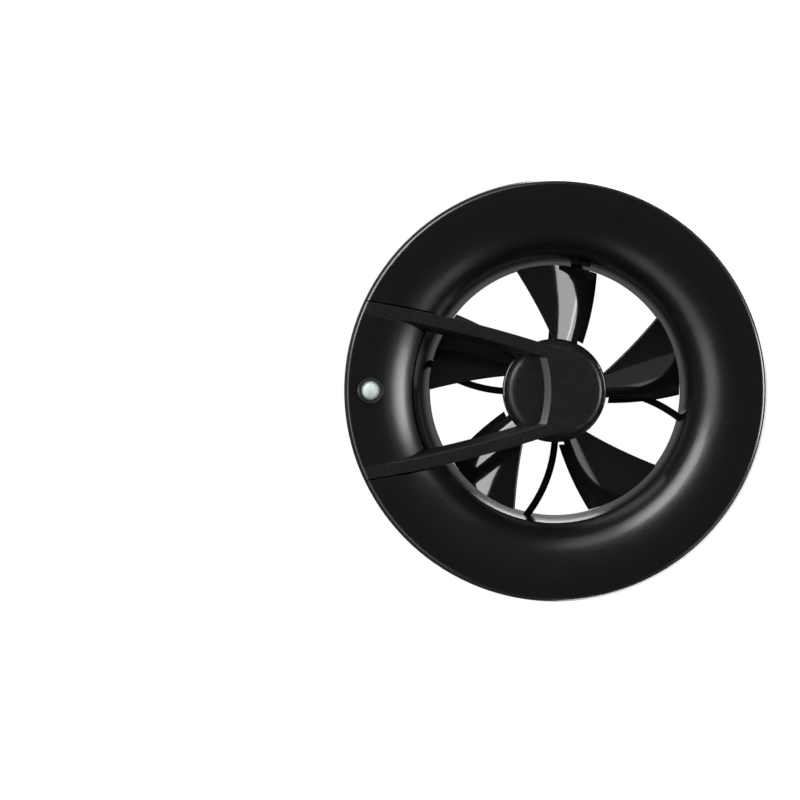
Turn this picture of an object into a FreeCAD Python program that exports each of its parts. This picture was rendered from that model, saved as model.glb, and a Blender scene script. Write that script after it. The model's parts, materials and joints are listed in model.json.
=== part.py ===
import FreeCAD, Part
import math
import os

Vector = FreeCAD.Vector

# A round wall fan for a 125 mm duct, in millimetres and degrees. It is drawn lying on
# its back: z is the fan's axis, z = 0 is the wall, +z points into the room and +y is up.
# stand_up() turns each finished piece so that the fan faces -Y with +Z up.

# Clearances
overrun = 4.0        # how far a cutting shape reaches past what it cuts
seam_gap = 0.6       # between covers that meet edge to edge
fit_gap = 0.15       # round a piece that seats in another
running_gap = 0.03   # between the shaft and its bearing
air_gap = 0.6        # between the magnet and the stator

# Duct tube
tube_radius = 61.5
tube_wall = 2.0
tube_flare = 0.8     # how much wider the bore is at its mouth
tube_flare_depth = 14.0
tube_length = 45.0   # behind the wall
tube_lip = 5.0       # ahead of the wall
tube_end_bevel = 1.0
tube_shoulder = 2.0  # step that centres the tube in the wall plate
collar_width = 6.0
collar_thickness = 2.0

# Ring cover with its bellmouth
ring_height = 30.0
shell_wall = 2.2
lip_step = 0.2
bell_width = 26.0
border_width = 6.0
cover_flare = 2.7    # how much wider the cover is at its foot than at its front
cover_edge_round = 1.5
hook_count = 7
hook_margin = 12.0   # degrees from the bridge to the first hook
hook_span = 6.0      # degrees
hook_thickness = 1.6
hook_root = 4.0

# Wall plate
plate_thickness = 2.5
plate_lip = 1.3      # how far the plate shows past the cover
rim_height = 4.0
rim_width = 2.4
rim_ledge = 0.25     # flat strip between the cover and the sloped edge
rim_foot = 0.4
wall_hole_radius = 2.3
wall_hole_inset = 3.5
wall_hole_count = 4
wall_hole_angle = 45.0

# Sensor bridge
arm_spread = 25.5    # degrees from the middle of the bridge to an arm's outer end
arm_end_angle = 38.7
arm_bow = 2.56
arm_width = 5.4
arm_depth = 8.0
arm_draft = 19.0
crease_inset = 6.7
arm_join = 11.4
hub_drop = 6.0       # how far the hub plate lies behind the front of the ring
lip_band = 3.6       # strip of the ring cover that runs on behind the bridge
plate_inset = 0.5
plate_round = 2.6
recess_edge = 1.3
recess_bow_radius = 54.6
recess_depth = 2.8
recess_run = 3.3
recess_corner = 1.6
bridge_hook_angle = 12.0

# Presence sensor
lens_inset = 4.6
lens_radius = 4.35
lens_dome = 2.0
lens_barrel = 1.4
lens_flange_width = 0.65
lens_flange_thickness = 1.0
lens_seat = 3.0
bezel_radius = 5.9
bezel_proud = 0.5
bezel_depth = 7.0
bezel_mouth = 1.1
bezel_chamfer = 1.2
pir_gap = 0.5
pir_radius = 4.1
pir_height = 4.0
pir_flange_width = 0.5
pir_flange_thickness = 0.6
spacer_wall = 1.2

# Hub cap
cap_radius = 22.2
cap_wall = 2.0
cap_round = 6.0
cap_gap = 1.5        # to the impeller behind it
cap_screw_circle = 12.0
cap_screw_angle = 65.0
cap_screw_bite = 1.8

# Impeller
hub_radius = 23.5
hub_wall = 1.9
hub_face = 2.0
hub_front = 10.5     # ahead of the wall
hub_length = 23.5
hub_round = 1.2
tip_gap = 2.5
blade_count = 5
blade_angle = 84.0
blade_set_back = 2.5
blade_root_depth = 7.5
blade_tip_depth = 14.0
lead_root_angle = 7.0
lead_tip_angle = 23.8
trail_root_angle = -24.0
trail_tip_angle = -12.8
blade_bow = 1.8
blade_nose = 2.2
blade_middle = 2.0
blade_tail = 1.2
blade_camber_share = 0.07
blade_station_shares = (0.0, 0.35, 0.7, 1.0)
blade_root_share = 0.8
tip_round = 1.2
tip_corner_shares = (0.7, 0.85)
root_notch = 1.4
root_notch_width = 1.4

# Motor cup, struts and the lead's conduit
cup_gap = 2.0
cup_length = 18.0
cup_wall = 2.0
cup_ledge = 2.0
cup_floor = 2.0
cup_round = 3.0
bearing_tube_wall = 1.5
strut_count = 4
strut_hub_angle = 0.8
strut_wall_angle = -12.9
strut_bow = 3.1
strut_width = 3.2
strut_depth = 9.0
strut_set_back = 3.0
strut_round = 1.4
conduit_clearance = 0.9
conduit_skin = 0.8
conduit_start_angle = 74.0
conduit_span = 8.6
conduit_crown = 1.6

# Motor
can_wall = 1.2
can_length = 18.5
boss_radius = 4.0
boss_height = 3.0
boss_gap = 0.8
magnet_thickness = 2.2
magnet_length = 14.0
shaft_radius = 1.5
sleeve_wall = 2.97
sleeve_length = 24.0
sleeve_inset = 0.5
clip_gap = 0.5
clip_thickness = 0.8
clip_width = 1.2
clip_groove = 0.3
pad_thickness = 1.5
plug_length = 5.0
stator_length = 10.0
stator_tooth_count = 6
stator_yoke_share = 0.27
stator_shoe_share = 0.135
stator_tooth_width = 3.6
stator_slot = 2.4
coil_build = 1.9
coil_round = 1.5
coil_end_gap = 0.3
motor_board_thickness = 1.6

# Control electronics
board_gap = 1.0
board_rim_gap = 2.0
board_half_angle = 22.0
board_thickness = 1.6
board_standoff = 5.0
post_radius = 2.4
post_inset = 2.6
post_margin = 3.0    # degrees from the board's end to a post
terminal_angle = 9.8
terminal_width = 12.0
terminal_depth = 8.5
terminal_height = 9.5
terminal_step = 2.2
terminal_poles = 3
terminal_screw_radius = 1.4
terminal_hole_radius = 1.3
terminal_screw_depth = 2.4
terminal_screw_height = 1.6
module_angle = 10.2
module_width = 13.0
module_depth = 11.0
module_height = 11.0
module_round = 1.0
capacitor_radius = 2.5
capacitor_height = 10.0
capacitor_inset = 3.2
capacitor_round = 0.6

# Cable inlet
grommet_angle = 150.0
grommet_inset = 8.5
grommet_hole = 3.5
grommet_wall = 2.5
grommet_flange = 2.0
grommet_flange_thickness = 1.5
grommet_skin = 0.8   # closed until a cable is pushed through

# Small screws
screw_head_radius = 2.2
screw_head_height = 1.5
screw_shank_radius = 1.1
screw_head_round = 0.6
tube_screw_count = 4
tube_screw_angle = 20.0
tube_screw_bite = 1.8
board_screw_bite = 3.5

# Motor lead
lead_radius = 1.0
lead_drop = 6.0
lead_start_inset = 3.0
lead_cup_angle = 97.6
lead_strut_angle = 90.4
lead_wall_angle = 80.3
lead_front = 4.0     # above the lip of the tube
lead_ring_gap = 7.0  # from the tube to the stretch inside the ring
lead_ring_angles = (84.0, 97.0, 111.0, 125.0, 138.0, 149.0)
lead_end_angle = 160.0
lead_board_gap = 0.4
lead_bend = 2.6
lead_sharp_turn = 45.0
lead_run_share = 0.45

# Radii that follow from the sizes above, from the axis outwards
bore_rear_radius = tube_radius - tube_wall
bore_front_radius = bore_rear_radius + tube_flare
bell_lip_radius = bore_front_radius + lip_step
bell_front_radius = bell_lip_radius + bell_width
cover_front_radius = bell_front_radius + border_width
cover_base_radius = cover_front_radius + cover_flare
plate_radius = cover_base_radius + plate_lip
rim_inner_radius = plate_radius - rim_width
shoulder_radius = tube_radius + tube_shoulder
collar_radius = shoulder_radius + collar_width
bridge_edge_radius = bell_lip_radius + lip_band
hub_plate_radius = cap_radius - plate_inset
lens_centre = bell_front_radius - lens_inset
blade_tip_radius = bore_rear_radius - tip_gap
conduit_radius = blade_tip_radius + conduit_clearance
passage_radius = lead_radius + fit_gap
lead_wall_radius = conduit_radius + conduit_skin + passage_radius
can_radius = hub_radius - hub_wall - fit_gap
magnet_radius = can_radius - can_wall - fit_gap
stator_radius = magnet_radius - magnet_thickness - air_gap
bearing_radius = shaft_radius + running_gap + sleeve_wall
bearing_tube_radius = bearing_radius + bearing_tube_wall
stator_bore = bearing_tube_radius + fit_gap
stator_yoke = (stator_radius - stator_bore) * stator_yoke_share
stator_shoe = (stator_radius - stator_bore) * stator_shoe_share
board_inner_radius = collar_radius + board_gap
board_outer_radius = cover_front_radius - shell_wall - board_rim_gap

# Heights that follow, from the room side to the duct side
bell_base = tube_lip + fit_gap
hub_plate_height = ring_height - hub_drop
cap_top = hub_plate_height - recess_depth
cap_bottom = hub_front + cap_gap
bezel_top = ring_height + bezel_proud
lens_shoulder = bezel_top - lens_seat
pir_top = lens_shoulder - lens_flange_thickness - pir_gap
board_bottom = plate_thickness + board_standoff
board_top = board_bottom + board_thickness
hub_rear = hub_front - hub_length
blade_front = hub_front - blade_set_back
can_top = hub_front - hub_face - fit_gap
can_rear = can_top - can_length
boss_bottom = can_top - can_wall - boss_height
bearing_front = boss_bottom - boss_gap
sleeve_front = bearing_front - sleeve_inset
sleeve_rear = sleeve_front - sleeve_length
cup_front = hub_rear - cup_gap
cup_rear = cup_front - cup_length
strut_front = cup_front - strut_set_back
motor_board_front = cup_front - cup_wall
motor_board_rear = motor_board_front - motor_board_thickness
pad_rear = cup_rear + plug_length
shaft_end = pad_rear + pad_thickness + running_gap
lead_height = cup_front - lead_drop
lead_front_height = tube_lip + lead_front
conduit_top = lead_front_height + conduit_crown


# Helpers

def polar(radius, angle, height=0):
    """Point at an angle round the fan's axis."""
    turn = math.radians(angle)
    return Vector(radius * math.cos(turn), radius * math.sin(turn), height)


def at(radius, height):
    """Point of a profile that is spun round the axis."""
    return Vector(radius, 0, height)


def line(start, end):
    return Part.LineSegment(start, end).toShape()


def arc(start, middle, end):
    return Part.Arc(start, middle, end).toShape()


def disc(radius, bottom, top, centre=Vector(0, 0, 0)):
    return Part.makeCylinder(radius, top - bottom, Vector(centre.x, centre.y, bottom))


def ring(outer, inner, bottom, top, centre=Vector(0, 0, 0)):
    hole = disc(inner, bottom - overrun, top + overrun, centre)
    return disc(outer, bottom, top, centre).cut(hole)


def ring_sector(outer, inner, bottom, top, start_angle, span):
    """Part of a ring, from one angle round to another."""
    pie = Part.makeCylinder(outer, top - bottom, Vector(0, 0, bottom), Vector(0, 0, 1), span)
    pie.rotate(Vector(0, 0, 0), Vector(0, 0, 1), start_angle)
    return pie.cut(disc(inner, bottom - overrun, top + overrun))


def spun(edges):
    """Solid of revolution from the edges of a closed profile."""
    face = Part.Face(Part.Wire(Part.__sortEdges__(edges)))
    return face.revolve(Vector(0, 0, 0), Vector(0, 0, 1), 360)


def spun_outline(points):
    return spun([line(a, b) for a, b in zip(points, points[1:] + points[:1])])


def side_prism(points, half_width):
    """Solid that has an outline seen along y, the same at every y."""
    shift = Vector(0, half_width, 0)
    corners = [p - shift for p in points + points[:1]]
    return Part.Face(Part.makePolygon(corners)).extrude(shift * 2)


def turned(shape, angle):
    copy = shape.copy()
    copy.rotate(Vector(0, 0, 0), Vector(0, 0, 1), angle)
    return copy


def moved(shape, place):
    copy = shape.copy()
    copy.translate(place)
    return copy


def block(radius, angle, depth, width, bottom, top):
    """Upright block that faces the axis, centred at a radius and an angle."""
    corner = Vector(radius - depth / 2, -width / 2, bottom)
    return turned(Part.makeBox(depth, width, top - bottom, corner), angle)


def rim_edges(shape, radius, height):
    """Round edges of a given radius about the axis, at a given height."""
    found = []
    for edge in shape.Edges:
        curve = edge.Curve
        if isinstance(curve, Part.Circle) and abs(curve.Radius - radius) < fit_gap / 10:
            if abs(curve.Center.z - height) < fit_gap / 10:
                found.append(edge)
    return found


def rounded_rim(shape, radius, height, size):
    return shape.makeFillet(size, rim_edges(shape, radius, height))


def fused(shapes):
    return shapes[0].multiFuse(shapes[1:]).removeSplitter()


def screw(length, head_down=False):
    """Small screw with its head's underside at z = 0 and its shank along -z."""
    head = disc(screw_head_radius, 0, screw_head_height)
    head = rounded_rim(head, screw_head_radius, screw_head_height, screw_head_round)
    whole = fused([head, disc(screw_shank_radius, -length, 0)])
    if head_down:
        whole.rotate(Vector(0, 0, 0), Vector(1, 0, 0), 180)
    return whole


def screw_hole(place, bottom, top):
    return disc(screw_shank_radius + fit_gap, bottom, top, place)


# Ring cover

def bell_curve(inset):
    """Quarter ellipse from the bore to the flat front, set into the shell by an inset."""
    lip = at(bell_lip_radius + inset, bell_base)
    corner = at(bell_lip_radius + inset, ring_height - inset)
    front = at(bell_front_radius, ring_height - inset)
    curve = Part.BezierCurve()
    curve.setPoles([lip, corner, front])
    curve.setWeight(2, math.sqrt(0.5))
    return curve.toShape()


def ring_shell():
    """The whole front ring, before the bridge's sector is taken out of it."""
    foot = at(cover_base_radius, rim_height)
    front = at(cover_front_radius, ring_height)
    inner_front = at(cover_front_radius - shell_wall, ring_height - shell_wall)
    inner_foot = at(cover_base_radius - shell_wall, rim_height)
    edges = [
        line(foot, front),
        line(front, at(bell_front_radius, ring_height)),
        bell_curve(0),
        line(at(bell_lip_radius, bell_base), at(bell_lip_radius + shell_wall, bell_base)),
        bell_curve(shell_wall),
        line(at(bell_front_radius, ring_height - shell_wall), inner_front),
        line(inner_front, inner_foot),
        line(inner_foot, foot),
    ]
    return rounded_rim(spun(edges), cover_front_radius, ring_height, cover_edge_round)


def bell_backing(inset):
    """Everything behind the bell's surface, as a solid ring down to the wall."""
    foot = at(bell_lip_radius + inset, 0)
    edge = at(plate_radius, 0)
    front = at(plate_radius, ring_height - inset)
    edges = [
        bell_curve(inset),
        line(at(bell_front_radius, ring_height - inset), front),
        line(front, edge),
        line(edge, foot),
        line(foot, at(bell_lip_radius + inset, bell_base)),
    ]
    return spun(edges)


def hook(angle):
    """Snap hook that holds a cover inside the wall plate's rim."""
    outer = rim_inner_radius - seam_gap
    bottom = plate_thickness + seam_gap
    start = angle - hook_span / 2
    return ring_sector(outer, outer - hook_thickness, bottom, rim_height + hook_root, start, hook_span)


def ring_cover():
    cover = ring_shell().cut(bridge_zone(seam_gap))
    reach = 180 - arm_spread - hook_margin
    angles = [reach * (2 * i / (hook_count - 1) - 1) for i in range(hook_count)]
    cover = fused([cover] + [hook(angle) for angle in angles])
    return cover.cut(lead_tube(passage_radius))


# Sensor bridge

def arm_circle():
    """Centre and radius of the upper arm's bowed outer edge."""
    start = polar(cover_front_radius, 180 - arm_spread)
    end = polar(hub_plate_radius, arm_end_angle)
    chord = end - start
    outward = Vector(-chord.y, chord.x, 0)
    outward.normalize()
    radius = (chord.Length ** 2 / 4 + arm_bow ** 2) / (2 * arm_bow)
    return (start + end) / 2 + outward * (arm_bow - radius), radius


def between_arms(grow):
    """Upright prism between the outer edges of the two arms."""
    centre, radius = arm_circle()
    mirrored = Vector(centre.x, -centre.y, 0)
    top = ring_height + overrun
    upper = disc(radius + grow, -overrun, top, centre)
    return upper.common(disc(radius + grow, -overrun, top, mirrored))


def left_half():
    size = 2 * plate_radius
    return Part.makeBox(size, 2 * size, size, Vector(-size, -size, -overrun))


def bridge_zone(grow):
    """Where the bridge's sector replaces the ring cover."""
    zone = between_arms(grow).common(left_half())
    return zone.cut(disc(bridge_edge_radius - grow, -2 * overrun, ring_height + 2 * overrun))


def above_arms(drop):
    """Everything in front of the arms' faces, or of a level that lies behind them by a drop."""
    crease = bell_front_radius - crease_inset
    reach = 2 * plate_radius
    top = ring_height + reach
    outline = [
        Vector(-reach, 0, ring_height - drop),
        Vector(-crease, 0, ring_height - drop),
        Vector(-arm_join, 0, hub_plate_height - drop),
        Vector(reach, 0, hub_plate_height - drop),
        Vector(reach, 0, top),
        Vector(-reach, 0, top),
    ]
    return side_prism(outline, reach)


def arm_window():
    """Opening between the arms, with sloped walls, up to the sloped edge on the hub."""
    centre, radius = arm_circle()
    crease = bell_front_radius - crease_inset
    slope = math.tan(math.radians(arm_draft))
    face_radius = radius - arm_width
    bottom_radius = face_radius - (ring_height + overrun) * slope
    top_radius = face_radius + overrun * slope
    height = ring_height + 2 * overrun
    window = None
    for side in (1, -1):
        foot = Vector(centre.x, side * centre.y, -overrun)
        cone = Part.makeCone(bottom_radius, top_radius, height, foot)
        window = cone if window is None else window.common(cone)
    tilt = math.degrees(math.atan2(hub_drop, crease - arm_join))
    window.rotate(Vector(-crease, 0, ring_height), Vector(0, 1, 0), tilt)
    steep = recess_run / recess_depth
    foot_radius = recess_bow_radius - (hub_plate_height + overrun) * steep
    edge_radius = foot_radius + height * steep
    foot = Vector(-recess_edge - recess_bow_radius, 0, -overrun)
    window = window.common(Part.makeCone(foot_radius, edge_radius, height, foot))
    bends = [edge for edge in window.Edges if isinstance(edge.Curve, Part.BSplineCurve)]
    corners = [edge for edge in bends if edge.CenterOfMass.x > -hub_radius]
    return window.makeFillet(recess_corner, corners)


def hub_plate_limit():
    """Keeps the bridge inside the hub on its right, with a rounded edge."""
    end = disc(hub_plate_radius, 0, hub_plate_height)
    end = rounded_rim(end, hub_plate_radius, hub_plate_height, plate_round)
    return end.fuse(left_half())


def bezel():
    """Raised collar round the lens."""
    foot = ring_height - bezel_depth
    return disc(bezel_radius, foot, bezel_top, Vector(-lens_centre, 0, 0))


def bezel_hole():
    """Chamfered mouth, lens hole and seat for the lens's flange, from the front."""
    hole = lens_radius + fit_gap
    seat = lens_radius + lens_flange_width + fit_gap
    foot = ring_height - bezel_depth - overrun
    mouth = bezel_top - bezel_chamfer
    top = bezel_top + overrun
    mouth_top = hole + bezel_mouth * (top - mouth) / bezel_chamfer
    points = [
        at(0, foot), at(seat, foot), at(seat, lens_shoulder), at(hole, lens_shoulder),
        at(hole, mouth), at(mouth_top, top), at(0, top),
    ]
    return moved(spun_outline(points), Vector(-lens_centre, 0, 0))


def sensor_bridge():
    column = between_arms(0).common(hub_plate_limit())
    inside = disc(bridge_edge_radius, -overrun, ring_height + overrun)
    over_bore = column.common(inside).common(above_arms(arm_depth)).cut(bell_backing(-seam_gap))
    over_ring = column.cut(inside).cut(bell_backing(shell_wall / 2))
    over_ring = over_ring.common(disc(bell_front_radius, 0, ring_height))
    window = arm_window().fuse(above_arms(0))
    cap = cap_dome(cap_radius + fit_gap, -overrun, cap_top, cap_round)
    arms = over_bore.fuse(over_ring).cut(window).cut(cap)
    sector = ring_shell().common(bridge_zone(0))
    hooks = [hook(180 + side * bridge_hook_angle) for side in (1, -1)]
    bridge = fused([sector, arms, bezel()] + hooks).cut(bezel_hole())
    for place in cap_screw_places():
        bridge = bridge.cut(screw_hole(place, cap_top - overrun, cap_top + cap_screw_bite + fit_gap))
    return bridge


# Hub cap

def cap_screw_places():
    return [polar(cap_screw_circle, side * cap_screw_angle) for side in (-1, 0, 1)]


def cap_dome(radius, bottom, top, corner):
    """A disc with a rounded front rim."""
    return rounded_rim(disc(radius, bottom, top), radius, top, corner)


def hub_cap():
    inner = cap_radius - cap_wall
    outside = cap_dome(cap_radius, cap_bottom, cap_top, cap_round)
    inside = cap_dome(inner, cap_bottom - overrun, cap_top - cap_wall, cap_round - cap_wall)
    cap = outside.cut(inside)
    for place in cap_screw_places():
        cap = cap.cut(screw_hole(place, cap_bottom, cap_top + overrun))
    return cap


def cap_screws():
    seat = cap_top - cap_wall
    one = screw(cap_wall + cap_screw_bite, head_down=True)
    return Part.makeCompound([moved(one, place + Vector(0, 0, seat)) for place in cap_screw_places()])


# Presence sensor

def lens():
    flange_radius = lens_radius + lens_flange_width
    flange_foot = lens_shoulder - lens_flange_thickness
    shoulder = at(lens_radius, lens_shoulder)
    barrel_top = at(lens_radius, lens_shoulder + lens_barrel)
    crown = at(0, lens_shoulder + lens_barrel + lens_dome)
    bulge = (lens_radius ** 2 + lens_dome ** 2) / (2 * lens_dome)
    half = math.asin(lens_radius / bulge) / 2
    middle = at(bulge * math.sin(half), crown.z - bulge * (1 - math.cos(half)))
    edges = [
        line(at(0, flange_foot), at(flange_radius, flange_foot)),
        line(at(flange_radius, flange_foot), at(flange_radius, lens_shoulder)),
        line(at(flange_radius, lens_shoulder), shoulder),
        line(shoulder, barrel_top),
        arc(barrel_top, middle, crown),
        line(crown, at(0, flange_foot)),
    ]
    return moved(spun(edges), Vector(-lens_centre, 0, 0))


def pir_sensor():
    foot = pir_top - pir_height
    can = disc(pir_radius, foot, pir_top)
    flange = disc(pir_radius + pir_flange_width, foot, foot + pir_flange_thickness)
    return moved(fused([can, flange]), Vector(-lens_centre, 0, 0))


def pir_spacer():
    outer = pir_radius + pir_flange_width
    return ring(outer, outer - spacer_wall, board_top, pir_top - pir_height, Vector(-lens_centre, 0, 0))


# Wall plate and cable inlet

def post_places():
    reach = board_half_angle - post_margin
    radii = (board_inner_radius + post_inset, board_outer_radius - post_inset)
    return [polar(radius, 180 + side * reach) for radius in radii for side in (1, -1)]


def grommet_place():
    return polar(bell_front_radius - grommet_inset, grommet_angle)


def wall_plate():
    bore = shoulder_radius + fit_gap
    plate = spun_outline([
        at(bore, 0), at(plate_radius, 0), at(plate_radius, rim_foot),
        at(cover_base_radius + rim_ledge, rim_height), at(rim_inner_radius, rim_height),
        at(rim_inner_radius, plate_thickness), at(bore, plate_thickness),
    ])
    posts = [disc(post_radius, 0, board_bottom, place) for place in post_places()]
    plate = fused([plate] + posts)
    for place in post_places():
        plate = plate.cut(screw_hole(place, board_top - board_screw_bite - board_thickness, board_top))
    for i in range(wall_hole_count):
        place = polar(bell_front_radius - wall_hole_inset, wall_hole_angle + 360 * i / wall_hole_count)
        plate = plate.cut(disc(wall_hole_radius, -overrun, plate_thickness + overrun, place))
    for place in tube_screw_places():
        plate = plate.cut(screw_hole(place, plate_thickness - tube_screw_bite - fit_gap, plate_thickness))
    neck = grommet_hole + grommet_wall + fit_gap
    return plate.cut(disc(neck, -overrun, plate_thickness + overrun, grommet_place()))


def cable_grommet():
    neck = grommet_hole + grommet_wall
    top = plate_thickness + grommet_flange_thickness
    body = fused([disc(neck, 0, top), disc(neck + grommet_flange, plate_thickness, top)])
    return moved(body.cut(disc(grommet_hole, grommet_skin, top + overrun)), grommet_place())


# Fan tube: duct tube, struts, motor cup and conduit

def tube_screw_places():
    radius = shoulder_radius + collar_width / 2
    return [polar(radius, tube_screw_angle + 360 * i / tube_screw_count) for i in range(tube_screw_count)]


def duct_tube():
    collar_foot = plate_thickness
    collar_top = plate_thickness + collar_thickness
    points = [
        at(bore_rear_radius, -tube_length),
        at(tube_radius - tube_end_bevel, -tube_length),
        at(tube_radius, -tube_length + tube_end_bevel),
        at(tube_radius, 0),
        at(shoulder_radius, 0),
        at(shoulder_radius, collar_foot),
        at(collar_radius, collar_foot),
        at(collar_radius, collar_top),
        at(shoulder_radius, collar_top),
        at(shoulder_radius, tube_lip),
        at(bore_front_radius, tube_lip),
    ]
    throat = at(bore_rear_radius, -tube_flare_depth)
    flare = Part.BezierCurve()
    flare.setPoles([points[-1], at(bore_rear_radius, (tube_lip - tube_flare_depth) / 2), throat])
    edges = [line(a, b) for a, b in zip(points, points[1:])]
    tube = spun(edges + [flare.toShape(), line(throat, points[0])])
    for place in tube_screw_places():
        tube = tube.cut(screw_hole(place, collar_foot - overrun, collar_top + overrun))
    return tube


def motor_cup():
    outside = rounded_rim(disc(hub_radius, cup_rear, cup_front), hub_radius, cup_rear, cup_round)
    floor = cup_rear + cup_floor
    inside = fused([
        disc(hub_radius - cup_wall, motor_board_rear, cup_front + overrun),
        disc(hub_radius - cup_wall - cup_ledge, floor, motor_board_rear),
    ])
    tower = disc(bearing_tube_radius, cup_rear, bearing_front)
    cup = fused([outside.cut(inside), tower])
    return cup.cut(disc(bearing_radius, cup_rear - overrun, bearing_front + overrun))


def strut():
    """Bowed bar from the motor cup to the tube, drawn along +x."""
    start = polar(hub_radius - cup_wall / 2, strut_hub_angle)
    end = polar(bore_rear_radius + tube_wall / 2, strut_wall_angle)
    chord = end - start
    side = Vector(-chord.y, chord.x, 0)
    side.normalize()
    crown = (start + end) / 2 + side * strut_bow
    radius = (chord.Length ** 2 / 4 + strut_bow ** 2) / (2 * strut_bow)
    centre = crown - side * radius
    foot = Vector(0, 0, strut_front - strut_depth)
    tracks = []
    for offset in (strut_width / 2, -strut_width / 2):
        grow = (radius + offset) / radius
        tracks.append([centre + (p - centre) * grow + foot for p in (start, crown, end)])
    outer, inner = tracks
    edges = [arc(*outer), line(outer[2], inner[2]), arc(*inner), line(inner[0], outer[0])]
    bar = Part.Face(Part.Wire(Part.__sortEdges__(edges))).extrude(Vector(0, 0, strut_depth))
    bows = [edge for edge in bar.Edges if isinstance(edge.Curve, Part.Circle)]
    crests = [edge for edge in bows if edge.CenterOfMass.z > strut_front - fit_gap]
    return bar.makeFillet(strut_round, crests)


def conduit():
    """Closed channel on the bore's wall that takes the lead past the impeller."""
    foot = strut_front - strut_depth
    behind = ring_sector(bore_rear_radius + tube_wall / 2, conduit_radius, foot, tube_lip,
                         conduit_start_angle, conduit_span)
    ahead = ring_sector(bell_lip_radius - seam_gap, conduit_radius, tube_lip, conduit_top,
                        conduit_start_angle, conduit_span)
    return fused([behind, ahead])


def fan_tube():
    struts = [turned(strut(), 360 * i / strut_count) for i in range(strut_count)]
    return fused([duct_tube(), motor_cup(), conduit()] + struts).cut(lead_tube(passage_radius))


def tube_screws():
    seat = Vector(0, 0, plate_thickness + collar_thickness)
    one = screw(collar_thickness + tube_screw_bite)
    return Part.makeCompound([moved(one, place + seat) for place in tube_screw_places()])


# Motor lead

def lead_points():
    """Corners of the lead's route from the motor cup, along the strut, to the board."""
    ring_radius = tube_radius + lead_ring_gap
    middle_radius = (hub_radius + bore_rear_radius) / 2
    start_radius = hub_radius - cup_wall - lead_start_inset
    end_radius = (board_inner_radius + board_outer_radius) / 2
    end_height = board_top + lead_radius + lead_board_gap
    points = [
        polar(start_radius, lead_cup_angle, lead_height),
        polar(middle_radius, lead_strut_angle, lead_height),
        polar(lead_wall_radius, lead_wall_angle, lead_height),
        polar(lead_wall_radius, lead_wall_angle, lead_front_height),
    ]
    points += [polar(ring_radius, angle, lead_front_height) for angle in lead_ring_angles]
    return points + [polar(end_radius, lead_end_angle, end_height)]


def rounded_route(points):
    """Straight runs joined by tangent arcs."""
    edges = []
    last = points[0]
    for before, corner, after in zip(points, points[1:], points[2:]):
        back = before - corner
        ahead = after - corner
        turn = math.pi - back.getAngle(ahead)
        radius = lead_run_share * min(back.Length, ahead.Length) / math.tan(turn / 2)
        if math.degrees(turn) > lead_sharp_turn:
            radius = min(radius, lead_bend)
        reach = radius * math.tan(turn / 2)
        back.normalize()
        ahead.normalize()
        inward = back + ahead
        inward.normalize()
        enter = corner + back * reach
        leave = corner + ahead * reach
        middle = corner + inward * (radius / math.cos(turn / 2) - radius)
        edges += [line(last, enter), arc(enter, middle, leave)]
        last = leave
    return Part.Wire(edges + [line(last, points[-1])])


def lead_tube(radius):
    points = lead_points()
    route = rounded_route(points)
    circle = Part.Circle(points[0], points[1] - points[0], radius).toShape()
    return route.makePipeShell([Part.Wire(circle)], True, False)


# Impeller

def blade_edge(root_angle, tip_angle, height, share):
    """Point of a blade's leading or trailing edge, at a share of its span."""
    root = polar(hub_radius, root_angle)
    tip = polar(blade_tip_radius, tip_angle)
    inner = hub_radius * blade_root_share
    x = inner + (blade_tip_radius + overrun - inner) * share
    bow = 4 * blade_bow * share * (1 - share)
    y = root.y + (tip.y - root.y) * (x - root.x) / (tip.x - root.x) - bow
    return Vector(x, y, height)


def blade_section(share):
    """Closed outline of a blade on a plane square to its length, at a share of its span."""
    front = blade_edge(lead_root_angle, lead_tip_angle, blade_front, share)
    depth = blade_root_depth + (blade_tip_depth - blade_root_depth) * share
    rear = blade_edge(trail_root_angle, trail_tip_angle, blade_front - depth, share)
    chord = rear - front
    normal = Vector(0, chord.z, -chord.y)
    normal.normalize()
    along = chord / chord.Length
    middle = (front + rear) / 2 + normal * chord.Length * blade_camber_share
    lean = 2 * math.atan(2 * blade_camber_share)
    front_normal = normal * math.cos(lean) - along * math.sin(lean)
    rear_normal = normal * math.cos(lean) + along * math.sin(lean)
    nose = front - (along * math.cos(lean) + normal * math.sin(lean)) * blade_nose / 2
    upper = [front + front_normal * blade_nose / 2, middle + normal * blade_middle / 2,
             rear + rear_normal * blade_tail / 2]
    lower = [front - front_normal * blade_nose / 2, middle - normal * blade_middle / 2,
             rear - rear_normal * blade_tail / 2]
    tail = line(upper[2], lower[2])
    return Part.Wire([arc(*upper), tail, arc(*lower[::-1]), arc(lower[0], nose, upper[0])])


def tip_corner(bottom, top):
    """What comes off the leading corner of a blade's tip to round it."""
    inner, outer = [blade_edge(lead_root_angle, lead_tip_angle, bottom, share)
                    for share in tip_corner_shares]
    along = outer - inner
    along.normalize()
    inward = Vector(along.y, -along.x, 0)
    start = outer + inward * (tip_round - blade_nose / 2)
    start.z = 0
    ahead = start.dot(along)
    reach = math.sqrt(ahead ** 2 - start.dot(start) + (blade_tip_radius - tip_round) ** 2) - ahead
    centre = start + along * reach
    centre.z = bottom
    to_edge = inward * -tip_round
    to_tip = Vector(centre.x, centre.y, 0).normalize() * tip_round
    outline = [centre, centre + to_edge, centre + (to_edge + to_tip) * 2, centre + to_tip, centre]
    wedge = Part.Face(Part.makePolygon(outline)).extrude(Vector(0, 0, top - bottom))
    return wedge.cut(disc(tip_round, bottom - overrun, top + overrun, centre))


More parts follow.
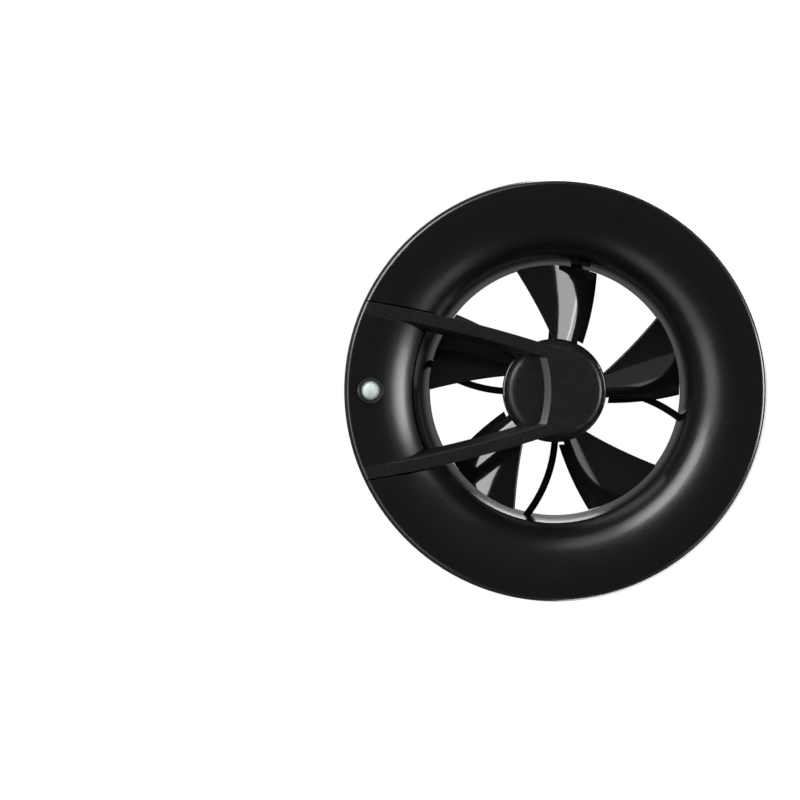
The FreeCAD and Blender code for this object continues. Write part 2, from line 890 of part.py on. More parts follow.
def blade():
    """Swept, twisted blade along +x, cut to the bore and notched at its trailing root."""
    body = Part.makeLoft([blade_section(share) for share in blade_station_shares], True, False)
    bottom = blade_front - 2 * blade_tip_depth
    top = hub_front + blade_tip_depth
    body = body.common(disc(blade_tip_radius, bottom, top))
    body = body.cut(disc(hub_radius - hub_wall / 2, bottom, top))
    notch = disc(hub_radius + root_notch, bottom, top)
    corner = polar(hub_radius, trail_root_angle)
    beside = Part.makeBox(hub_radius, hub_radius, top - bottom,
                          Vector(0, corner.y + root_notch_width - hub_radius, bottom))
    return body.cut(notch.common(beside)).cut(tip_corner(bottom, top))


def impeller():
    outside = rounded_rim(disc(hub_radius, hub_rear, hub_front), hub_radius, hub_front, hub_round)
    hollow = disc(hub_radius - hub_wall, hub_rear - overrun, hub_front - hub_face)
    one = blade()
    blades = [turned(one, blade_angle + 360 * i / blade_count) for i in range(blade_count)]
    return fused([outside.cut(hollow)] + blades)


# Motor

def rotor_can():
    outside = disc(can_radius, can_rear, can_top)
    inside = disc(can_radius - can_wall, can_rear - overrun, can_top - can_wall)
    boss = disc(boss_radius, boss_bottom, can_top)
    can = fused([outside.cut(inside), boss])
    return can.cut(disc(shaft_radius, boss_bottom - overrun, can_top + overrun))


def rotor_magnet():
    middle = (can_top - can_wall + can_rear) / 2
    inner = magnet_radius - magnet_thickness
    return ring(magnet_radius, inner, middle - magnet_length / 2, middle + magnet_length / 2)


def clip_top():
    return sleeve_rear - clip_gap


def motor_shaft():
    bar = disc(shaft_radius, shaft_end, can_top)
    inner = shaft_radius - clip_groove
    return bar.cut(ring(shaft_radius + overrun, inner, clip_top() - clip_thickness, clip_top()))


def shaft_clip():
    inner = shaft_radius - clip_groove
    return ring(shaft_radius + clip_width, inner, clip_top() - clip_thickness, clip_top())


def bearing_sleeve():
    return ring(bearing_radius, shaft_radius + running_gap, sleeve_rear, sleeve_front)


def thrust_pad():
    return disc(bearing_radius - fit_gap, pad_rear, pad_rear + pad_thickness)


def bearing_plug():
    return disc(bearing_radius - fit_gap, cup_rear, pad_rear)


def stator_span():
    middle = (can_top - can_wall + can_rear) / 2
    return middle - stator_length / 2, middle + stator_length / 2


def stator_core():
    bottom, top = stator_span()
    yoke = ring(stator_bore + stator_yoke, stator_bore, bottom, top)
    shoes = ring(stator_radius, stator_radius - stator_shoe, bottom, top)
    reach = stator_radius - stator_shoe / 2
    bar = block(reach / 2, 0, reach, stator_tooth_width, bottom, top)
    gap = block(stator_radius, 0, 2 * overrun, stator_slot, bottom, top)
    step = 360 / stator_tooth_count
    gaps = [turned(gap, (i + 0.5) * step) for i in range(stator_tooth_count)]
    teeth = [turned(bar, i * step) for i in range(stator_tooth_count)]
    core = fused([yoke, shoes.cut(fused(gaps))] + teeth)
    return core.cut(disc(stator_bore, bottom - overrun, top + overrun))


def stator_coils():
    bottom, top = stator_span()
    width = stator_tooth_width + 2 * coil_build
    start = stator_bore + stator_yoke + coil_end_gap
    shoe_limit = stator_radius - stator_shoe - coil_end_gap
    reach = math.sqrt(shoe_limit ** 2 - width ** 2 / 4) - start
    middle = start + reach / 2
    outside = block(middle, 0, reach, width, bottom - coil_build, top + coil_build)
    inside = fit_gap / 2
    hole_width = stator_tooth_width + fit_gap
    hole = block(middle, 0, reach + 2 * overrun, hole_width, bottom - inside, top + inside)
    corners = [edge for edge in outside.Edges if edge.tangentAt(0).cross(Vector(1, 0, 0)).Length < fit_gap]
    coil = outside.makeFillet(coil_round, corners).cut(hole)
    step = 360 / stator_tooth_count
    return Part.makeCompound([turned(coil, i * step) for i in range(stator_tooth_count)])


def motor_board():
    return ring(hub_radius - cup_wall - fit_gap, stator_bore, motor_board_rear, motor_board_front)


# Control electronics

def control_board():
    board = ring_sector(board_outer_radius, board_inner_radius, board_bottom, board_top,
                        180 - board_half_angle, 2 * board_half_angle)
    for place in post_places():
        board = board.cut(screw_hole(place, board_bottom - overrun, board_top + overrun))
    return board


def board_screws():
    one = screw(board_screw_bite)
    return Part.makeCompound([moved(one, place + Vector(0, 0, board_top)) for place in post_places()])


def terminal_radius():
    return (board_inner_radius + board_outer_radius) / 2


def terminal_pitch(i):
    return terminal_width * ((i + 0.5) / terminal_poles - 0.5)


def terminal_block():
    top = board_top + terminal_height
    seat = top - terminal_screw_depth
    middle = terminal_radius()
    face = middle - terminal_depth / 2
    body = block(middle, 0, terminal_depth, terminal_width, board_top, top)
    step = block(face, 0, 2 * terminal_step, terminal_width, top - terminal_step, top)
    body = body.cut(step)
    for i in range(terminal_poles):
        place = Vector(middle, terminal_pitch(i), 0)
        body = body.cut(disc(terminal_screw_radius + fit_gap, seat, top + overrun, place))
        mouth = Vector(face - overrun, terminal_pitch(i), board_top + terminal_height / 3)
        reach = overrun + terminal_depth / 3
        body = body.cut(Part.makeCylinder(terminal_hole_radius, reach, mouth, Vector(1, 0, 0)))
    return turned(body, 180 - terminal_angle)


def terminal_screws():
    seat = board_top + terminal_height - terminal_screw_depth
    screws = []
    for i in range(terminal_poles):
        place = Vector(terminal_radius(), terminal_pitch(i), 0)
        screws.append(disc(terminal_screw_radius, seat, seat + terminal_screw_height, place))
    return Part.makeCompound([turned(one, 180 - terminal_angle) for one in screws])


def power_module():
    body = block(terminal_radius(), 0, module_depth, module_width, board_top, board_top + module_height)
    upright = Vector(0, 0, 1)
    corners = [edge for edge in body.Edges if edge.tangentAt(0).cross(upright).Length < fit_gap]
    return turned(body.makeFillet(module_round, corners), 180 + module_angle)


def filter_capacitor():
    top = board_top + capacitor_height
    can = rounded_rim(disc(capacitor_radius, board_top, top), capacitor_radius, top, capacitor_round)
    return moved(can, Vector(-board_inner_radius - capacitor_inset, 0, 0))


def stand_up(shape):
    """Turn a piece from its back to face -Y, with +Z up."""
    shape.rotate(Vector(0, 0, 0), Vector(1, 0, 0), 90)
    return shape


pieces = {
    "wall_plate": wall_plate(),
    "fan_tube": fan_tube(),
    "tube_screws": tube_screws(),
    "ring_cover": ring_cover(),
    "sensor_bridge": sensor_bridge(),
    "hub_cap": hub_cap(),
    "cap_screws": cap_screws(),
    "lens": lens(),
    "pir_sensor": pir_sensor(),
    "pir_spacer": pir_spacer(),
    "control_board": control_board(),
    "board_screws": board_screws(),
    "terminal_block": terminal_block(),
    "terminal_screws": terminal_screws(),
    "power_module": power_module(),
    "filter_capacitor": filter_capacitor(),
    "cable_grommet": cable_grommet(),
    "motor_lead": lead_tube(lead_radius),
    "impeller": impeller(),
    "rotor_can": rotor_can(),
    "rotor_magnet": rotor_magnet(),
    "motor_shaft": motor_shaft(),
    "shaft_clip": shaft_clip(),
    "bearing_sleeve": bearing_sleeve(),
    "thrust_pad": thrust_pad(),
    "bearing_plug": bearing_plug(),
    "stator_core": stator_core(),
    "stator_coils": stator_coils(),
    "motor_board": motor_board(),
}

os.makedirs("parts", exist_ok=True)
for name, shape in pieces.items():
    stand_up(shape).exportStep("parts/" + name + ".step")
    print(name, len(shape.Solids), shape.isValid(), round(shape.Volume, 1))
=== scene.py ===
"""Looks of a round wall and duct extract fan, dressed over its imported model."""
import json
import logging
import math
from dataclasses import dataclass
from enum import Enum
from typing import Any, Protocol, Union

import bmesh
import bpy
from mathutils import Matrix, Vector


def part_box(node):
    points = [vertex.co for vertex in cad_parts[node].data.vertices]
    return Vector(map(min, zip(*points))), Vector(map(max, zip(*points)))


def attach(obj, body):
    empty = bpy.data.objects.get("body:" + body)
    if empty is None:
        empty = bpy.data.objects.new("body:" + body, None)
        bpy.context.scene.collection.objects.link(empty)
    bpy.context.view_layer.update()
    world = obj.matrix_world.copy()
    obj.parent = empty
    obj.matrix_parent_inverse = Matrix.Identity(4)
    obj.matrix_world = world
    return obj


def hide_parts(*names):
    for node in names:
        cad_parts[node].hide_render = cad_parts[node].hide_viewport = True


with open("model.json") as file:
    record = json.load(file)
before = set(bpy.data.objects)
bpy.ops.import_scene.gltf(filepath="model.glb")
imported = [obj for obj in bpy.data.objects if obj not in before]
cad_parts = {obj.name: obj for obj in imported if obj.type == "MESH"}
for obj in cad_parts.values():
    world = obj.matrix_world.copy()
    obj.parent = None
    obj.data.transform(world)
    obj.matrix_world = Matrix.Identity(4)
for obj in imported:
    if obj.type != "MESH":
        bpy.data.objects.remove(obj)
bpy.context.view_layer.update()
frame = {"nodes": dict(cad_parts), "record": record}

MM = 0.001
WHITE = (1.0, 1.0, 1.0, 1.0)
NOISE_MEAN = 0.5
WAVE_LENGTH = 0.314   # of a wave texture at scale 1
MIX_FIRST, MIX_SECOND = 6, 7   # colour sockets of a mix
MIX_COLOUR = 2
OWN_SLOTS = {"fan_tube": "tube_black"}   # the bore is duller than the blades
log = logging.getLogger("extract_fan")

Colour = tuple[float, float, float]
Input = Union["Signal", float, tuple]


class Body(Enum):
    """Bodies of the frame that pieces ride on."""

    HOUSING = "housing"


class Seed(Enum):
    """Parts of the noise pattern, so that two layers of a finish differ."""

    CLOUDS = 0.0
    MARKS = 2.0
    GRAIN = 3.0
    SPECKS = 5.0
    WAVES = 7.0


# Shader maths


class Signal:
    """An output socket that takes part in arithmetic."""

    def __init__(self, graph: "Graph", socket: bpy.types.NodeSocket) -> None:
        """Keep the socket and the tree it belongs to."""
        self.graph = graph
        self.socket = socket

    def _math(self, operation: str, first: Input, second: Input) -> "Signal":
        """Add a Math node for two values."""
        return self.graph.node("ShaderNodeMath", {"operation": operation}, {0: first, 1: second})

    def __add__(self, other: Input) -> "Signal":
        """Sum."""
        return self._math("ADD", self, other)

    __radd__ = __add__

    def __sub__(self, other: Input) -> "Signal":
        """Difference."""
        return self._math("SUBTRACT", self, other)

    def __rsub__(self, other: Input) -> "Signal":
        """Difference from a number."""
        return self._math("SUBTRACT", other, self)

    def __mul__(self, other: Input) -> "Signal":
        """Product."""
        return self._math("MULTIPLY", self, other)

    def size(self) -> "Signal":
        """Distance from zero."""
        return self._math("ABSOLUTE", self, 0.0)

    def over(self, other: Input) -> "Signal":
        """The larger of two values."""
        return self._math("MAXIMUM", self, other)

    def rise(self, start: float, width: float) -> "Signal":
        """Ramp from 0 to 1 that begins at a value and is so wide."""
        settings = {"operation": "MULTIPLY", "use_clamp": True}
        return self.graph.node("ShaderNodeMath", settings, {0: self - start, 1: 1.0 / width})


class Graph:
    """Node tree of a material or of the world, emptied and ready to be filled."""

    def __init__(self, tree: bpy.types.NodeTree) -> None:
        """Empty the tree."""
        self.tree = tree
        tree.nodes.clear()

    def node(self, kind: str, settings: dict[str, Any] | None = None,
             inputs: dict[int | str, Input] | None = None, output: int | str = 0) -> Signal:
        """Add one node.

        Args:
            kind: The node's type.
            settings: Its properties, set first; "stops" fills a ramp with (place, colour) pairs.
            inputs: Values or signals of its sockets.
            output: The socket that the signal is read from.

        Returns:
            The node's output as a signal.
        """
        made = self.tree.nodes.new(kind)
        for name, value in (settings or {}).items():
            if name == "stops":
                self._fill_ramp(made.color_ramp, value)
            else:
                setattr(made, name, value)
        for key, value in (inputs or {}).items():
            if isinstance(value, Signal):
                self.tree.links.new(value.socket, made.inputs[key])
            else:
                made.inputs[key].default_value = value
        return Signal(self, made.outputs[output] if made.outputs else None)

    @staticmethod
    def _fill_ramp(ramp: bpy.types.ColorRamp, stops: list[tuple[float, Colour]]) -> None:
        """Put stops on a ramp that starts with two."""
        while len(ramp.elements) < len(stops):
            ramp.elements.new(1.0)
        for element, (place, colour) in zip(ramp.elements, stops):
            element.position = place
            element.color = (*colour, 1.0)

    def ramp(self, value: Signal, levels: tuple[tuple[float, float], ...]) -> Signal:
        """Grey that follows a value.

        Args:
            value: Where on the ramp, from 0 to 1.
            levels: (place, brightness) pairs.

        Returns:
            The brightness as a signal.
        """
        stops = [(place, (level, level, level)) for place, level in levels]
        return self.node("ShaderNodeValToRGB", {"stops": stops}, {"Fac": value})

    def place(self) -> Signal:
        """Object coordinates, in metres."""
        return self.node("ShaderNodeTexCoord", output="Object")

    def along(self, axis: str, vector: Signal) -> Signal:
        """One coordinate of a vector."""
        return self.node("ShaderNodeSeparateXYZ", {}, {"Vector": vector}, output=axis)

    def noise(self, size: float, detail: float = 2.0, seed: Seed = Seed.CLOUDS) -> Signal:
        """Soft noise from 0 to 1.

        Args:
            size: Size of its lumps, in metres.
            detail: How many finer layers it has.
            seed: Shifts it to another part of the pattern.

        Returns:
            The noise as a value.
        """
        inputs = {"Vector": self.place(), "W": seed.value, "Scale": 1.0 / size, "Detail": detail}
        return self.node("ShaderNodeTexNoise", {"noise_dimensions": "4D"}, inputs)

    def blend(self, mask: Signal, first: Input, second: Input) -> Signal:
        """Go from one colour to another with a mask from 0 to 1."""
        inputs = {"Factor": mask, MIX_FIRST: first, MIX_SECOND: second}
        return self.node("ShaderNodeMix", {"data_type": "RGBA"}, inputs, output=MIX_COLOUR)

    def tint(self, colour: Colour, change: float, mask: Signal) -> Signal:
        """A colour that gets lighter with a mask.

        Args:
            colour: The darkest colour.
            change: How much lighter it gets, as a share.
            mask: Where it is lighter, from 0 to 1.

        Returns:
            The colour as a signal.
        """
        lighter = tuple(min(1.0, channel * (1.0 + change)) for channel in colour)
        return self.blend(mask, (*colour, 1.0), (*lighter, 1.0))

    def bump(self, height: Signal) -> Signal:
        """Normal that follows a height in metres."""
        return self.node("ShaderNodeBump", {}, {"Height": height, "Distance": 1.0})

    def finish(self, inputs: dict[int | str, Input]) -> None:
        """End the tree in one Principled shader with these inputs."""
        shader = self.node("ShaderNodeBsdfPrincipled", {}, inputs)
        self.node("ShaderNodeOutputMaterial", {}, {"Surface": shader})


def new_graph(name: str) -> tuple[bpy.types.Material, Graph]:
    """A new material and its empty tree."""
    material = bpy.data.materials.new(name)
    material.use_nodes = True
    return material, Graph(material.node_tree)


# Finishes


class Finish(Protocol):
    """What every finish can do."""

    name: str

    def material(self) -> bpy.types.Material:
        """The finish as a material."""


@dataclass(frozen=True)
class MouldedPlastic:
    """Plastic from a mould, with a fine grain and an uneven gloss. Sizes are in metres."""

    name: str
    colour: Colour
    roughness: float
    grain_size: float = 0.4 * MM
    grain_depth: float = 0.004 * MM
    wave_size: float = 18 * MM
    wave_depth: float = 0.0
    gloss_change: float = 0.05
    colour_change: float = 0.25

    def material(self) -> bpy.types.Material:
        """Grain and slow waves in the normal, clouds in the gloss and the colour."""
        material, graph = new_graph(self.name)
        clouds = graph.noise(self.wave_size, detail=3.0)
        grain = graph.noise(self.grain_size, seed=Seed.GRAIN)
        waves = graph.noise(self.wave_size, detail=0.0, seed=Seed.WAVES)
        graph.finish({
            "Base Color": graph.tint(self.colour, self.colour_change, grain * clouds),
            "Roughness": self.roughness + (clouds - NOISE_MEAN) * self.gloss_change,
            "Normal": graph.bump(grain * self.grain_depth + waves * self.wave_depth),
        })
        return material


@dataclass(frozen=True)
class BridgePlastic:
    """Plastic with a grained band on the arms and the hub, and a smooth sector. Sizes are in metres."""

    name: str
    smooth: Colour
    grained: Colour
    smooth_roughness: float
    grained_roughness: float
    grain_size: float = 0.6 * MM
    grain_depth: float = 0.05 * MM
    speckle: float = 2.6
    speck_start: float = 0.35
    speck_width: float = 0.35
    cloud_size: float = 12 * MM
    cloud_change: float = 0.3
    band_offset: float = 15.7 * MM
    band_slope: float = 0.214
    band_edge: float = 0.6 * MM
    hub_start: float = -26 * MM
    hub_edge: float = 3 * MM

    def material(self) -> bpy.types.Material:
        """Grain where a point lies on an arm's face or on the hub."""
        material, graph = new_graph(self.name)
        across = graph.along("X", graph.place())
        up = graph.along("Z", graph.place())
        on_arm = (up.size() + across * self.band_slope).rise(self.band_offset, self.band_edge)
        mask = on_arm.over(across.rise(self.hub_start, self.hub_edge))
        grain = graph.noise(self.grain_size, seed=Seed.SPECKS)
        clouds = graph.noise(self.cloud_size, detail=3.0)
        specks = grain.rise(self.speck_start, self.speck_width)
        plain = graph.tint(self.smooth, self.cloud_change, clouds)
        speckled = graph.tint(self.grained, self.speckle, specks)
        graph.finish({
            "Base Color": graph.blend(mask, plain, speckled),
            "Roughness": self.smooth_roughness + mask * (self.grained_roughness - self.smooth_roughness),
            "Normal": graph.bump(grain * mask * self.grain_depth),
        })
        return material


@dataclass(frozen=True)
class Metal:
    """Bare metal with fine marks from its making. Sizes are in metres."""

    name: str
    colour: Colour
    roughness: float
    mark_size: float = 0.5 * MM
    mark_depth: float = 0.003 * MM
    stain_size: float = 6 * MM
    gloss_change: float = 0.15
    colour_change: float = 0.18

    def material(self) -> bpy.types.Material:
        """Fine marks in the normal and the gloss, stains in the colour."""
        material, graph = new_graph(self.name)
        stains = graph.noise(self.stain_size, detail=4.0)
        marks = graph.noise(self.mark_size, detail=3.0, seed=Seed.MARKS)
        graph.finish({
            "Base Color": graph.tint(self.colour, self.colour_change, stains),
            "Metallic": 1.0,
            "Roughness": self.roughness + (marks - NOISE_MEAN) * self.gloss_change,
            "Normal": graph.bump(marks * self.mark_depth),
        })
        return material


@dataclass(frozen=True)
class WoundWire:
    """Enamelled wire in close turns. Sizes are in metres."""

    name: str
    colour: Colour
    roughness: float
    wire: float = 0.35 * MM
    ridge_share: float = 1 / 3
    wander: float = 0.4
    gloss_change: float = 0.15
    # how much lighter the crests are painted than the grooves, which is painted shade between the turns
    colour_change: float = 0.6

    def material(self) -> bpy.types.Material:
        """Ridges one wire wide, round the fan's axis, with painted shade darkening the grooves between the
        turns.
        """
        material, graph = new_graph(self.name)
        turns = graph.node(
            "ShaderNodeTexWave",
            {"wave_type": "RINGS", "rings_direction": "Y", "wave_profile": "SIN"},
            {"Vector": graph.place(), "Scale": WAVE_LENGTH / self.wire, "Distortion": self.wander},
        )
        graph.finish({
            # painted shade: the colour darkens in the grooves between the turns and lightens on their crests
            "Base Color": graph.tint(self.colour, self.colour_change, turns),
            "Metallic": 1.0,
            "Roughness": self.roughness - turns * self.gloss_change,
            "Normal": graph.bump(turns * (self.wire * self.ridge_share)),
        })
        return material


@dataclass(frozen=True)
class BoardLaminate:
    """Coated board with copper tracks under the coat. Sizes are in metres."""

    name: str
    colour: Colour
    roughness: float
    track: float = 1.6 * MM
    track_share: float = 0.25
    track_levels: tuple[tuple[float, float], ...] = ((0.42, 0), (0.46, 1), (0.60, 1), (0.64, 0))
    track_height: float = 0.03 * MM
    cloud_size: float = 8 * MM
    gloss_change: float = 0.12
    colour_change: float = 0.7

    def material(self) -> bpy.types.Material:
        """Lighter bands where the tracks run."""
        material, graph = new_graph(self.name)
        cells = graph.node(
            "ShaderNodeTexVoronoi",
            {"distance": "MANHATTAN", "feature": "F1"},
            {"Vector": graph.place(), "Scale": self.track_share / self.track},
        )
        tracks = graph.ramp(cells, self.track_levels)
        graph.finish({
            "Base Color": graph.tint(self.colour, self.colour_change, tracks),
            "Roughness": self.roughness + graph.noise(self.cloud_size) * self.gloss_change,
            "Normal": graph.bump(tracks * self.track_height),
        })
        return material


@dataclass(frozen=True)
class LensPlastic:
    """Milky plastic of the sensor's lens. Sizes are in metres."""

    name: str
    colour: Colour
    roughness: float
    cloud_size: float = 2.5 * MM
    ripple: float = 0.01 * MM
    milkiness: float = 0.35
    scatter: float = 1.2 * MM
    gloss_change: float = 0.06
    colour_change: float = 0.12

    def material(self) -> bpy.types.Material:
        """Clouded colour under a smooth skin."""
        material, graph = new_graph(self.name)
        clouds = graph.noise(self.cloud_size, detail=3.0)
        graph.finish({
            "Base Color": graph.tint(self.colour, self.colour_change, clouds),
            "Roughness": self.roughness + (clouds - NOISE_MEAN) * self.gloss_change,
            "Subsurface Weight": self.milkiness,
            "Subsurface Radius": (1.0, 1.0, 1.0),
            "Subsurface Scale": self.scatter,
            "Normal": graph.bump(clouds * self.ripple),
        })
        return material


FINISHES: dict[str, Finish] = {finish.name: finish for finish in (
    MouldedPlastic("satin_black", (0.0055, 0.0055, 0.0058), 0.30, grain_depth=0.0025 * MM),
    BridgePlastic("grained_black", smooth=(0.0055, 0.0055, 0.0058), grained=(0.005, 0.005, 0.0052),
                  smooth_roughness=0.30, grained_roughness=0.37),
    MouldedPlastic("gloss_black", (0.004, 0.004, 0.0043), 0.07, grain_depth=0.0004 * MM,
                   wave_size=12 * MM, wave_depth=0.06 * MM, gloss_change=0.02),
    MouldedPlastic("tube_black", (0.005, 0.005, 0.0052), 0.18),
    LensPlastic("lens_white", (0.60, 0.68, 0.66), 0.22),
    Metal("steel", (0.60, 0.60, 0.58), 0.30),
    Metal("rotor_steel", (0.40, 0.40, 0.41), 0.38),
    MouldedPlastic("magnet", (0.07, 0.07, 0.075), 0.55, grain_depth=0.01 * MM),
    WoundWire("copper", (0.55, 0.22, 0.09), 0.42),
    Metal("bronze", (0.52, 0.34, 0.15), 0.42),
    BoardLaminate("board", (0.012, 0.075, 0.030), 0.34),
    MouldedPlastic("component_black", (0.012, 0.012, 0.012), 0.5),
    MouldedPlastic("component_grey", (0.34, 0.35, 0.36), 0.45),
    MouldedPlastic("rubber", (0.010, 0.010, 0.010), 0.6, grain_depth=0.012 * MM),
)}


class Wardrobe:
    """Makes each finish once and puts it on nodes and pieces by their slots."""

    def __init__(self) -> None:
        """Read which slot each CAD node takes."""
        self.made: dict[str, bpy.types.Material] = {}
        self.slots = {row["node"]: row["material_slot"] for row in frame["record"]["subparts"]}
        self.slots.update(OWN_SLOTS)

    def material(self, slot: str) -> bpy.types.Material:
        """The material of a slot, made when it is first asked for."""
        if slot not in self.made:
            self.made[slot] = FINISHES[slot].material()
        return self.made[slot]

    def dress(self, target: bpy.types.Object, slot: str) -> None:
        """Give an object the one material of a slot."""
        target.data.materials.clear()
        target.data.materials.append(self.material(slot))

    def dress_nodes(self) -> None:
        """Give every CAD node the finish of its slot."""
        for name, node in frame["nodes"].items():
            self.dress(node, self.slots[name])
            log.info("node %s in %s", name, self.slots[name])


# Pieces


def add_object(shape: bmesh.types.BMesh, name: str) -> bpy.types.Object:
    """Turn a finished shape, which is freed, into an object of the scene."""
    mesh = bpy.data.meshes.new(name)
    shape.to_mesh(mesh)
    shape.free()
    made = bpy.data.objects.new(name, mesh)
    bpy.context.scene.collection.objects.link(made)
    return made


def add_piece(shape: bmesh.types.BMesh, name: str, node: str, body: Body,
              wardrobe: Wardrobe) -> bpy.types.Object:
    """Turn a finished shape into a piece that stands for a CAD node, in that node's finish.

    Args:
        shape: The shape, in place, which is freed.
        name: Name of the piece.
        node: The CAD node that it replaces.
        body: The body that it moves with.
        wardrobe: Where its finish comes from.

    Returns:
        The piece.
    """
    piece = add_object(shape, name)
    slot = wardrobe.slots[node]
    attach(piece, body.value)
    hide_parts(node)
    wardrobe.dress(piece, slot)
    log.info("piece %s for %s, %d faces", name, node, len(piece.data.polygons))
    return piece


@dataclass
class RoundRim:
    """The rounded front rim that the cover and the bridge share. Sizes are in metres."""

    node: str = "ring_cover"
    radius: float = 1.5 * MM
    slack: float = 0.03 * MM
    flat: float = 0.002 * MM
    cuts: int = 3

    def middle(self, shape: bmesh.types.BMesh) -> tuple[float, float]:
        """Where the round's middle lies, from the axis and in depth."""
        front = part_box(self.node)[0][1]
        reach = max(math.hypot(vert.co.x, vert.co.z) for vert in shape.verts
                    if abs(vert.co.y - front) < self.flat)
        return reach, front + self.radius

    def offset(self, vert: bmesh.types.BMVert, middle: tuple[float, float]) -> Vector:
        """From the middle of the round to a point, outward and in depth."""
        return Vector((math.hypot(vert.co.x, vert.co.z) - middle[0], vert.co.y - middle[1]))

    def holds(self, face: bmesh.types.BMFace, middle: tuple[float, float]) -> bool:
        """Whether all of a face's points lie on the round."""
        offsets = [self.offset(vert, middle) for vert in face.verts]
        return all(abs(one.length - self.radius) < self.slack and one.x > -self.slack for one in offsets)

    def refine(self, shape: bmesh.types.BMesh) -> None:
        """Cut the rim finer and lay its new points on a true round."""
        middle = self.middle(shape)
        edges = dict.fromkeys(edge for face in shape.faces if self.holds(face, middle) for edge in face.edges)
        made = bmesh.ops.subdivide_edges(shape, edges=list(edges), cuts=self.cuts, use_grid_fill=True)
        for vert in made["geom_inner"]:
            if isinstance(vert, bmesh.types.BMVert):
                offset = self.offset(vert, middle)
                push = offset * (self.radius / offset.length - 1)
                outward = Vector((vert.co.x, 0, vert.co.z)).normalized()
                vert.co += outward * push.x + Vector((0, push.y, 0))


@dataclass
class SoftEdges:
    """A moulding's CAD shape with the edges of its front faces rounded. Sizes are in metres."""

    node: str
    body: Body
    radius: float
    segments: int = 3
    merge: float = 0.002 * MM
    corner: float = math.radians(30)
    front_share: float = 0.45
    shortest: float = 0.3 * MM
    spared: str = "lens"
    spared_reach: float = 3 * MM

    def is_spared(self, edge: bmesh.types.BMEdge) -> bool:
        """Whether an edge lies close round the node that keeps its sharp collar."""
        low, high = (Vector(corner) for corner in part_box(self.spared))
        offset = (edge.verts[0].co + edge.verts[1].co) / 2 - (low + high) / 2
        return math.hypot(offset.x, offset.z) < (high.x - low.x) / 2 + self.spared_reach

    def is_front_edge(self, edge: bmesh.types.BMEdge) -> bool:
        """Whether an edge is a corner that bounds a face which looks into the room."""
        if len(edge.link_faces) != 2 or edge.calc_face_angle_signed() < self.corner:
            return False
        faces_room = any(-face.normal.y > self.front_share for face in edge.link_faces)
        return faces_room and edge.calc_length() > self.shortest and not self.is_spared(edge)

    def build(self, wardrobe: Wardrobe) -> None:
        """Round a copy and put it in the node's place."""
        shape = bmesh.new()
        shape.from_mesh(frame["nodes"][self.node].data)
        bmesh.ops.remove_doubles(shape, verts=shape.verts, dist=self.merge)
        RoundRim().refine(shape)
        edges = [edge for edge in shape.edges if self.is_front_edge(edge)]
        bmesh.ops.bevel(shape, geom=edges, offset=self.radius, offset_type="OFFSET", affect="EDGES",
                        segments=self.segments, profile=0.5, material=-1)
        piece = add_piece(shape, self.node + "_rounded", self.node, self.body, wardrobe)
        self.shade(piece.data)

    def shade(self, mesh: bpy.types.Mesh) -> None:
        """Shade smoothly, led by the largest faces at each corner, so that flat faces stay flat."""
        meeting: list[list[bpy.types.MeshPolygon]] = [[] for _ in mesh.vertices]
        for polygon in mesh.polygons:
            polygon.use_smooth = True
            for vertex in polygon.vertices:
                meeting[vertex].append(polygon)
        limit = math.cos(self.corner)
        normals = []
        for polygon in mesh.polygons:
            for vertex in polygon.vertices:
                level = [other for other in meeting[vertex] if other.normal.dot(polygon.normal) > limit]
                normals.append(sum((other.normal * other.area for other in level), Vector()).normalized())
        mesh.normals_split_custom_set(normals)


@dataclass
class FacetLens:
    """Sensor lens with a dome of flat facets. Sizes are in metres."""

    node: str = "lens"
    body: Body = Body.HOUSING
    flange_width: float = 0.65 * MM
    flange_thickness: float = 1.0 * MM
    barrel: float = 1.4 * MM
    merge: float = 0.014 * MM
    facets: int = 14
    rings: int = 4

    def profile(self, low: Vector, high: Vector) -> list[tuple[float, float]]:
        """Half section of the lens.

        Args:
            low: Lowest corner of the CAD lens's box.
            high: Highest corner of it.

        Returns:
            Points as distances from the lens's axis and depths, from the rear to the tip of the dome.
        """
        flange = (high.x - low.x) / 2
        radius = flange - self.flange_width
        shoulder = high.y - self.flange_thickness
        dome = shoulder - self.barrel - low.y
        bulge = (radius ** 2 + dome ** 2) / (2 * dome)
        half = math.asin(radius / bulge)
        points = [(0.0, high.y), (flange, high.y), (flange, shoulder), (radius, shoulder)]
        for i in range(self.rings + 1):
            turn = half * (1 - i / self.rings)
            points.append((bulge * math.sin(turn), low.y + bulge * (1 - math.cos(turn))))
        return points

    def build(self, wardrobe: Wardrobe) -> None:
        """Spin the lens's profile in as many steps as the dome has facets."""
        low, high = (Vector(corner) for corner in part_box(self.node))
        centre = (low + high) / 2
        shape = bmesh.new()
        verts = [shape.verts.new((centre.x + reach, depth, centre.z))
                 for reach, depth in self.profile(low, high)]
        edges = [shape.edges.new(pair) for pair in zip(verts, verts[1:])]
        bmesh.ops.spin(shape, geom=verts + edges, cent=centre, axis=(0, 1, 0), angle=math.tau,
                       steps=self.facets, use_merge=True)
        bmesh.ops.remove_doubles(shape, verts=shape.verts, dist=self.merge)
        bmesh.ops.recalc_face_normals(shape, faces=shape.faces)
        add_piece(shape, "lens_facets", self.node, self.body, wardrobe)


# Studio


